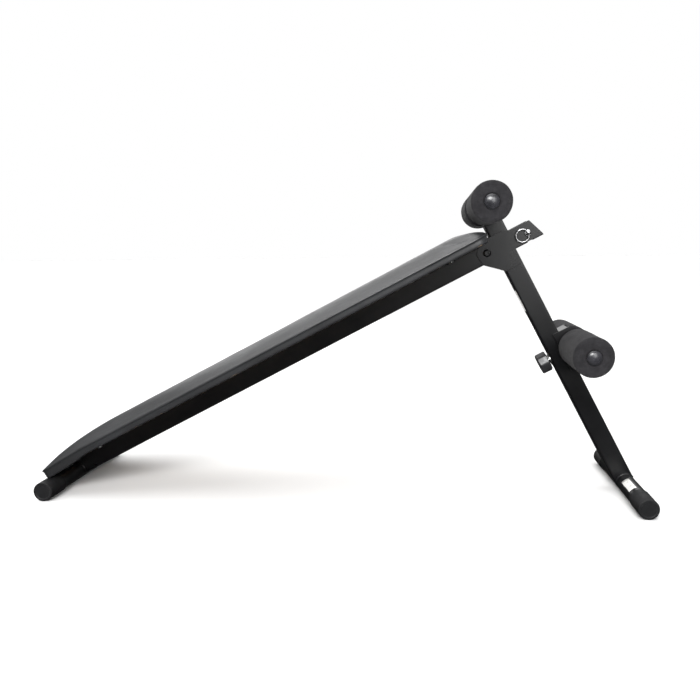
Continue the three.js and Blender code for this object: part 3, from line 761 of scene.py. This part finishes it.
def pad_staples():
    """Staples that hold the cover's hem under the board."""
    parts = []
    for u, y, nu, ny in pad_outline(STAPLE_INSET_MM)[::STAPLE_EVERY]:
        if abs(y) < NO_STAPLE_Y_MM or u - PAD_NOSE_U_MM < NO_STAPLE_NOSE_MM:
            continue
        turn = 0.5 * wobble((u, y, 7), 0.4)
        along = (-ny * math.cos(turn) + nu * math.sin(turn), nu * math.cos(turn) + ny * math.sin(turn))
        hem = HEM_W_MM - droop(u)
        path = [bench(u + along[0] * s, y + along[1] * s, hem + dw) for s, dw in STAPLE_LINE_MM]
        parts.append(tube_along(path, STAPLE_R_MM * MM, 6))
    points, faces = merged(parts)
    new_piece("pad_staples", points, faces, ZINC, "frame")


pad_staples()


# ---- Foam rollers ----
FOAM_R_MM = 40.0
FOAM_BORE_MM = 13.1
FOAM_INNER_MM = 25.2
FOAM_OUTER_MM = 176.0
FOAM_EDGE_MM = 7.5
FOAM_STEPS = 96
FOAM_ROWS = 24
# The dished end round the plug: radius, and how far it lies outside (+) or inside (-) the sleeve's end.
FOAM_DISH_MM = (
    (28, 0.1),
    (22, 0),
    (18.6, -0.3),
    (16.6, -1.4),
    (15.4, -3.2),
    (14.2, -4.8),
    (FOAM_BORE_MM, -5.6),
)
FOAM_SKIN_R_MM = 20.0
FOAM_SINK_MM = 0.4
FOAM_LUMP_MM = 0.45
FOAM_END_LUMP_MM = 0.15
FOAM_SEED = {"upper": 3.0, "lower": 11.0}


def foam_profile():
    """(radius, distance from the middle plane) round the section of one sleeve."""
    inner, outer, r, edge = FOAM_INNER_MM, FOAM_OUTER_MM, FOAM_R_MM, FOAM_EDGE_MM
    profile = [(FOAM_BORE_MM, inner + 0.5), (FOAM_BORE_MM + 1.2, inner), (22, inner), (r - edge, inner)]
    for k in range(1, 6):
        angle = math.radians(18 * k)
        profile.append((r - edge + edge * math.sin(angle), inner + edge * (1 - math.cos(angle))))
    for k in range(1, FOAM_ROWS):
        profile.append((r, inner + edge + (outer - inner - 2 * edge) * k / FOAM_ROWS))
    for k in range(0, 6):
        angle = math.radians(18 * k)
        profile.append((r - edge + edge * math.cos(angle), outer - edge + edge * math.sin(angle)))
    profile += [(radius, outer + depth) for radius, depth in FOAM_DISH_MM]
    return profile


def foam_point(direction, radius, distance, seed):
    """(radius, distance) of a point of a sleeve, made slightly uneven on its skin."""
    around = direction * radius
    place = (around.x, distance, around.z)
    lump = wobble(place, 0.035, seed) + 0.5 * wobble(place, 0.11, seed + 5)
    skin = radius > FOAM_SKIN_R_MM
    drawn_in = FOAM_END_LUMP_MM * skin * (1 + wobble(place, 0.07, seed))
    return radius - FOAM_SINK_MM + FOAM_LUMP_MM * lump * skin, distance - drawn_in


def foam_sleeve(level, side, sign):
    node = f"{level}_foam_{side}"
    axis = axis_of(node)
    profile = foam_profile()
    seed = FOAM_SEED[level] + sign
    points, faces = [], []
    for k in range(FOAM_STEPS):
        angle = 2 * math.pi * k / FOAM_STEPS
        direction = Vector((math.cos(angle), 0, math.sin(angle)))
        for radius, distance in profile:
            r, y = foam_point(direction, radius, distance, seed)
            points.append(axis + direction * r * MM + Vector((0, sign * y * MM, 0)))
    count = len(profile)
    for k in range(FOAM_STEPS):
        for i in range(count):
            a, b = k * count + i, k * count + (i + 1) % count
            c, d = ((k + 1) % FOAM_STEPS) * count + (i + 1) % count, ((k + 1) % FOAM_STEPS) * count + i
            faces.append((a, b, c, d) if sign < 0 else (d, c, b, a))
    piece = new_piece(f"{level}_sleeve_{side}", points, faces, FOAM, node)
    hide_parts(node)


for level in ("upper", "lower"):
    for side, sign in SIDES:
        foam_sleeve(level, side, sign)


# ---- Welds ----
BEAD_MM = 2.0
BEAD_STEP_MM = 0.8
RIPPLE_MM = 2.6
FOOT_WELD_R_MM = FOOT_TUBE_R_MM + 0.3
FRONT_WELD_DEG = (-44, 72)
REAR_WELD_DEG = (12, 169)
POST_U_MM = 2.0
POST_BEAD_Y_MM = (-15, -5, 5, 15)
# How far the middle of a bead lies outside (+) or inside (-) the face of the tube it runs along.
FOOT_BEAD_OUT_MM = 0.4
STRAP_BEAD_SIDE_MM = -0.6
STRAP_BEAD_TOP_MM = -0.2
POST_BEAD_OUT_MM = 0.6
# A bead's thickness: its share at a tip, how fast it grows to full, its ripples and its unevenness.
BEAD_TIP = 0.45
BEAD_GROWTH = 0.2
BEAD_RIPPLE = 0.10
BEAD_UNEVEN = 0.08


def bead(corners):
    """A rippled weld bead along a line of points in metres."""
    path = []
    for first, second in zip(corners, corners[1:]):
        steps = max(1, round((second - first).length / (BEAD_STEP_MM * MM)))
        path.extend(first.lerp(second, k / steps) for k in range(steps))
    path.append(corners[-1])
    pitch = RIPPLE_MM / BEAD_STEP_MM

    def radius_at(i):
        taper = min(1.0, BEAD_TIP + BEAD_GROWTH * min(i, len(path) - 1 - i))
        ripple = BEAD_RIPPLE * abs(math.sin(math.pi * i / pitch))
        return taper * (1 + ripple + BEAD_UNEVEN * wobble(path[i], 300))

    return tube_along(path, BEAD_MM * MM, 10, radius_at)


def foot_bead(foot, tilt, y, degrees):
    """A bead round part of a stabiliser, beside the tube that stands on it."""
    place = tilted(axis_of(foot), tilt)
    r = FOOT_WELD_R_MM
    angles = [math.radians(a) for a in range(*degrees, 4)]
    return bead([place(r * math.cos(a), y, r * math.sin(a)) for a in angles])


def welds():
    half = TUBE_HALF_MM
    frame_parts, leg_parts = [], []
    for _, sign in SIDES:
        y = sign * (half + FOOT_BEAD_OUT_MM)
        frame_parts.append(foot_bead("front_stabilizer", FRAME_TILT, y, FRONT_WELD_DEG))
        leg_parts.append(foot_bead("rear_stabilizer", LEG_TILT, y, REAR_WELD_DEG))
        y, w = sign * (half + STRAP_BEAD_SIDE_MM), half + STRAP_BEAD_TOP_MM
        for u in STRAP_U_MM:
            ends = (u - STRAP_HALF_MM, u, u + STRAP_HALF_MM)
            frame_parts.append(bead([bench(end, y, w) for end in ends]))
    for side in (-1, 1):
        u, w = POST_U_MM + side * (half + POST_BEAD_OUT_MM), half + POST_BEAD_OUT_MM
        frame_parts.append(bead([bench(u, y, w) for y in POST_BEAD_Y_MM]))
    for name, body, parts in (("frame_welds", "frame", frame_parts), ("leg_welds", "leg", leg_parts)):
        points, faces = merged(parts)
        new_piece(name, points, faces, PAINT, body)


welds()


# ---- Blank labels ----
LABEL_LIFT_MM = 0.06
LABEL_THICK_MM = 0.14
TUBE_LABEL_DEG = (8, 62)
TUBE_LABEL_Y_MM = (-48, -104)
LEG_LABEL_HALF_MM = 11.0
LEG_LABEL_W_MM = (-100, -149)


def between(ends, share):
    return ends[0] + (ends[1] - ends[0]) * share


def sheet_patch(name, place_at, rows, columns, body):
    """A thin blank sticker on the surface place_at(s, t, layer), with s and t from 0 to 1."""
    points, faces = [], []
    for layer in (0.0, 1.0):
        for i in range(rows + 1):
            for j in range(columns + 1):
                points.append(place_at(i / rows, j / columns, layer))
    size = (rows + 1) * (columns + 1)

    def at(layer, i, j):
        return layer * size + i * (columns + 1) + j

    for i in range(rows):
        for j in range(columns):
            faces.append((at(1, i, j), at(1, i + 1, j), at(1, i + 1, j + 1), at(1, i, j + 1)))
            faces.append((at(0, i, j + 1), at(0, i + 1, j + 1), at(0, i + 1, j), at(0, i, j)))
    rim = [(i, 0) for i in range(rows)] + [(rows, j) for j in range(columns)]
    rim += [(i, columns) for i in range(rows, 0, -1)] + [(0, j) for j in range(columns, 0, -1)]
    for k, (i, j) in enumerate(rim):
        n, m = rim[(k + 1) % len(rim)]
        faces.append((at(0, i, j), at(0, n, m), at(1, n, m), at(1, i, j)))
    new_piece(name, points, faces, LABEL, body)


def labels():
    axis = axis_of("rear_stabilizer")

    def on_rear_tube(s, t, layer):
        angle = math.radians(between(TUBE_LABEL_DEG, s))
        radius = (FOOT_TUBE_R_MM + LABEL_LIFT_MM + LABEL_THICK_MM * layer) * MM
        y = between(TUBE_LABEL_Y_MM, t) * MM
        return axis + Vector((-radius * math.sin(angle), y, radius * math.cos(angle)))

    def on_leg_face(s, t, layer):
        u = -TUBE_HALF_MM - LABEL_LIFT_MM - LABEL_THICK_MM * layer
        y = between((-LEG_LABEL_HALF_MM, LEG_LABEL_HALF_MM), s)
        return leg(u, y, between(LEG_LABEL_W_MM, t))

    sheet_patch("rear_tube_label", on_rear_tube, 10, 6, "leg")
    sheet_patch("leg_label", on_leg_face, 4, 4, "leg")


labels()


# ---- Stage ----
FLOOR_STEPS = 64
FLOOR_RADIUS = 60.0
FLOOR_Z = -0.0005
# The room's glow rises from its floor to its ceiling; the height is that of the direction looked in.
ROOM_HEIGHT = (-0.12, 0.7)
ROOM_GLOW = (0.035, 0.5)
CEILING_TURN = (math.radians(-8), math.radians(-12), 0)
CEILING_SPREAD = math.radians(75)
CEILING_STRENGTH = 2.6
# Name, place, point aimed at, width, height and power of each soft panel.
PANELS = (
    ("window", (1.3, -3.1, 1.45), (0.4, 0, 0.55), 1.3, 2.0, 38),
    ("strip", (-0.4, -3.0, 2.1), (0.0, 0, 0.45), 1.7, 0.7, 105),
    ("far_wall", (-0.5, 3.6, 1.45), (0, 0, 0.45), 5.0, 1.9, 38),
)
CAMERA_PLACE = Vector((0.18935, -1.47268, 0.52261))
CAMERA_YAW = 0.095
CAMERA_PITCH = -0.144
CAMERA_ROLL = -0.009
CAMERA_LENS_MM = 34.602
CAMERA_SENSOR_MM = 36
CAMERA_SHIFT = (-0.0165, -0.0015)


def place_in_scene(name, data):
    thing = bpy.data.objects.new(name, data)
    bpy.context.scene.collection.objects.link(thing)
    return thing


def soft_panel(name, place, target, width, height, power):
    """A soft rectangular light that the camera doesn't see."""
    data = bpy.data.lights.new(name, "AREA")
    data.shape = "RECTANGLE"
    data.size, data.size_y = width, height
    data.energy = power
    lamp = place_in_scene(name, data)
    lamp.location = place
    direction = Vector(target) - Vector(place)
    lamp.rotation_euler = direction.to_track_quat("-Z", "Y").to_euler()
    lamp.visible_camera = False


def ceiling_light():
    """A very wide, soft light from above that is as bright far off as at the bench."""
    data = bpy.data.lights.new("overhead", "SUN")
    data.energy = CEILING_STRENGTH
    data.angle = CEILING_SPREAD
    lamp = place_in_scene("overhead", data)
    lamp.location = (0, 0, 3)
    lamp.rotation_euler = CEILING_TURN


def floor():
    points = [(0, 0, FLOOR_Z)]
    for k in range(FLOOR_STEPS):
        angle = 2 * math.pi * k / FLOOR_STEPS
        points.append((FLOOR_RADIUS * math.cos(angle), FLOOR_RADIUS * math.sin(angle), FLOOR_Z))
    faces = [(0, 1 + k, 1 + (k + 1) % FLOOR_STEPS) for k in range(FLOOR_STEPS)]
    data = bpy.data.meshes.new("floor")
    data.from_pydata(points, [], faces)
    look = Look("floor_look", 0.9, specular=0.05)
    look.colour(look.mix(look.ramp(look.noise(3, 3), 0.3, 0.7), (0.89, 0.89, 0.89), (0.91, 0.91, 0.905)))
    data.materials.append(look.material)
    ground = place_in_scene("floor", data)
    ground.visible_glossy = False


def world():
    """A plain white backdrop to the camera, and a room that is dim low down to everything else."""
    sky = bpy.data.worlds.new("studio")
    sky.use_nodes = True
    tree = sky.node_tree
    tree.nodes.clear()
    place = tree.nodes.new("ShaderNodeTexCoord")
    split = tree.nodes.new("ShaderNodeSeparateXYZ")
    height = tree.nodes.new("ShaderNodeMapRange")
    set_range(height, *ROOM_HEIGHT, *ROOM_GLOW)
    room = tree.nodes.new("ShaderNodeBackground")
    seen = tree.nodes.new("ShaderNodeBackground")
    seen.inputs["Color"].default_value = (1.0, 1.0, 1.0, 1)
    ray = tree.nodes.new("ShaderNodeLightPath")
    mix = tree.nodes.new("ShaderNodeMixShader")
    out = tree.nodes.new("ShaderNodeOutputWorld")
    tree.links.new(place.outputs["Generated"], split.inputs["Vector"])
    tree.links.new(split.outputs["Z"], height.inputs["Value"])
    tree.links.new(height.outputs["Result"], room.inputs["Strength"])
    tree.links.new(ray.outputs["Is Camera Ray"], mix.inputs["Fac"])
    tree.links.new(room.outputs["Background"], mix.inputs[1])
    tree.links.new(seen.outputs["Background"], mix.inputs[2])
    tree.links.new(mix.outputs["Shader"], out.inputs["Surface"])
    bpy.context.scene.world = sky


def camera():
    yaw, pitch, roll = CAMERA_YAW, CAMERA_PITCH, CAMERA_ROLL
    forward = Vector((-math.sin(yaw) * math.cos(pitch), math.cos(yaw) * math.cos(pitch), math.sin(pitch)))
    right = Vector((math.cos(yaw), math.sin(yaw), 0))
    up = right.cross(forward)
    rolled_right = right * math.cos(roll) + up * math.sin(roll)
    rolled_up = up * math.cos(roll) - right * math.sin(roll)
    data = bpy.data.cameras.new("camera")
    data.sensor_width = CAMERA_SENSOR_MM
    data.lens = CAMERA_LENS_MM
    data.shift_x, data.shift_y = CAMERA_SHIFT
    data.clip_start, data.clip_end = 0.05, 200
    eye = place_in_scene("camera", data)
    turn = Matrix((rolled_right, rolled_up, -forward)).transposed()
    eye.matrix_world = Matrix.Translation(CAMERA_PLACE) @ turn.to_4x4()
    bpy.context.scene.camera = eye


floor()
world()
camera()
ceiling_light()
for panel in PANELS:
    soft_panel(*panel)

view = bpy.context.scene.view_settings
view.view_transform = "Standard"
view.look = "None"
